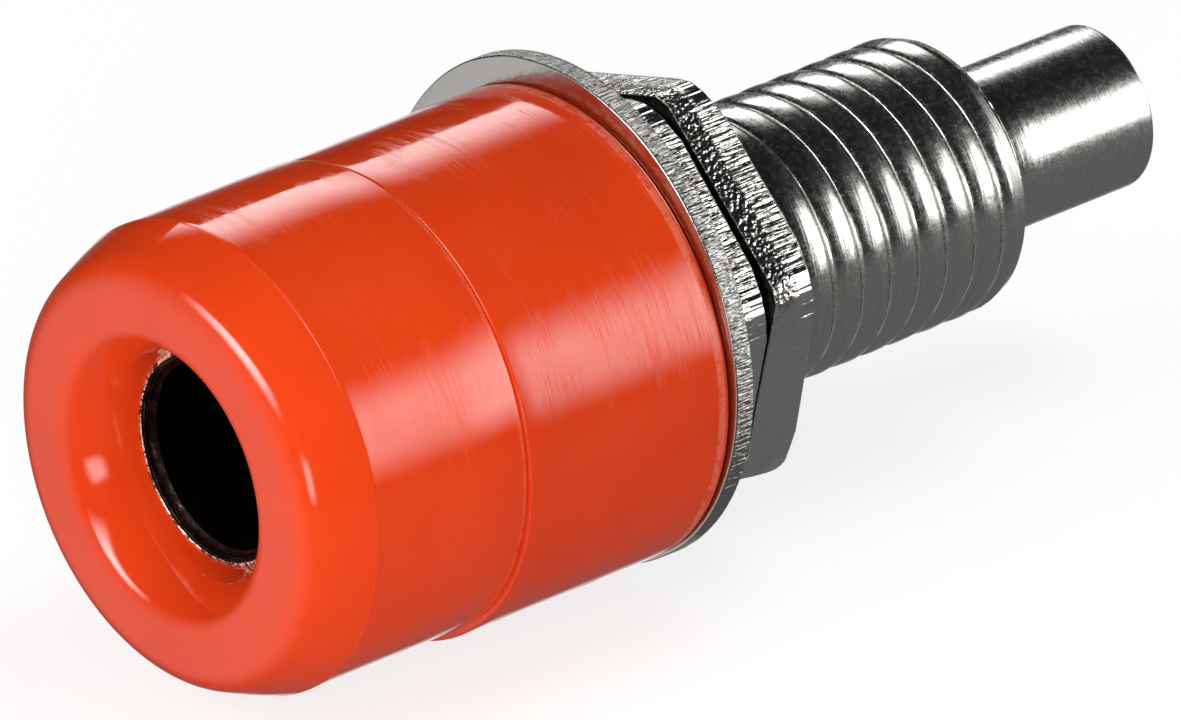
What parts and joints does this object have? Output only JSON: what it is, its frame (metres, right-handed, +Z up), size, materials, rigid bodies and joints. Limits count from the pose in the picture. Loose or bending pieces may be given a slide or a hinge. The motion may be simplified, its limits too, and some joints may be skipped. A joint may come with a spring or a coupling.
{
  "type": "banana socket",
  "caption": "Insulated panel socket for a 4 mm banana plug: round orange-red cap and collar, nickel-plated threaded sleeve with solder pin, washer and hexagon nuts.",
  "frame": {"origin": "on the socket's axis, in the plane of the panel's front face: the joint between the front cap and the rear collar", "axes": "-Y out of the mouth, towards the plug; +Y towards the solder pin; +Z up, as in an upright panel"},
  "size_m": [0.0108, 0.025, 0.0107],
  "materials": {
    "sleeve_nickel": "turned brass with bright nickel plate",
    "cap_plastic": "glossy moulded orange-red plastic",
    "collar_plastic": "glossy moulded orange-red plastic, lightly scuffed",
    "washer_steel": "punched sheet, nickel-plated, matte faces and sheared rim",
    "nut_nickel": "nickel-plated brass, tumbled"
  },
  "bodies": {
    "socket": {"contact_sleeve": "sleeve_nickel", "front_cap": "cap_plastic"},
    "rear_stack": {"rear_collar": "collar_plastic", "washer": "washer_steel"},
    "clamp_nut": {"clamp_nut": "nut_nickel"},
    "lock_nut": {"lock_nut": "nut_nickel"}
  },
  "joints": [
    {"name": "stack_slide", "type": "slide", "parent": "socket", "child": "rear_stack", "axis": [0, 1, 0], "range_m": [0, 0.0065]},
    {"name": "clamp_nut_turn", "type": "hinge", "parent": "rear_stack", "child": "clamp_nut", "pos_m": [0, 0.00637, 0], "axis": [0, 1, 0], "range_deg": [0, 3121]},
    {"name": "lock_nut_turn", "type": "hinge", "parent": "rear_stack", "child": "lock_nut", "pos_m": [0, 0.00765, 0], "axis": [0, 1, 0], "range_deg": [0, 3121]}
  ],
  "couplings": [
    {"joint": "clamp_nut_turn", "follows": "stack_slide", "rad_per_m": 8377.6},
    {"joint": "lock_nut_turn", "follows": "stack_slide", "rad_per_m": 8377.6}
  ]
}
